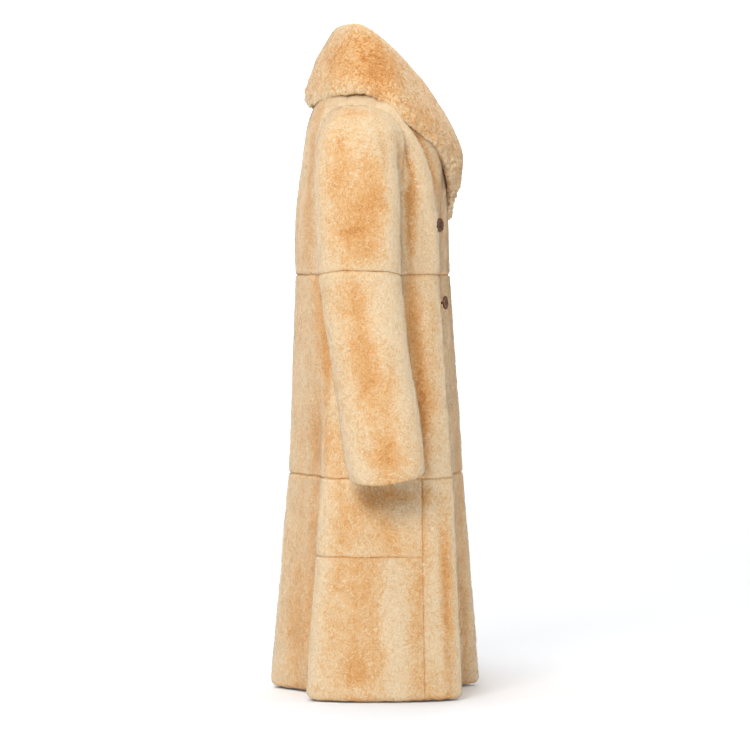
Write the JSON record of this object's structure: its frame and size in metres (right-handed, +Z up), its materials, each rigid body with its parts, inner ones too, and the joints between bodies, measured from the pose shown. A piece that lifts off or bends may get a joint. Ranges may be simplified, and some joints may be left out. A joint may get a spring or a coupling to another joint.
{
  "type": "fur coat",
  "caption": "Long lapped coat of sheared honey-beige fur with a wide shawl collar, seamed sleeves and a flared skirt, filled out as worn and held up at the shoulders.",
  "frame": {"origin": "middle of the neck base at shoulder level, where the wearer's shoulders hold the coat", "axes": "+X toward the wearer's left, -Y toward the front, +Z up"},
  "size_m": [0.7108, 0.3534, 1.12],
  "materials": {
    "fur": "sheared plush pile",
    "horn": "satin, grained like horn"
  },
  "bodies": {
    "root": {"back_upper": "fur", "back_middle": "fur", "back_lower": "fur", "front_upper_right": "fur", "front_middle_right": "fur", "front_lower_right": "fur", "side_lower_top_right": "fur", "side_lower_bottom_right": "fur", "sleeve_upper_right": "fur", "sleeve_lower_right": "fur", "front_upper_left": "fur", "front_middle_left": "fur", "front_lower_left": "fur", "side_lower_top_left": "fur", "side_lower_bottom_left": "fur", "sleeve_upper_left": "fur", "sleeve_lower_left": "fur", "collar": "fur", "button_right_top": "horn", "button_right_bottom": "horn", "button_left_top": "horn", "button_left_bottom": "horn"}
  },
  "joints": []
}
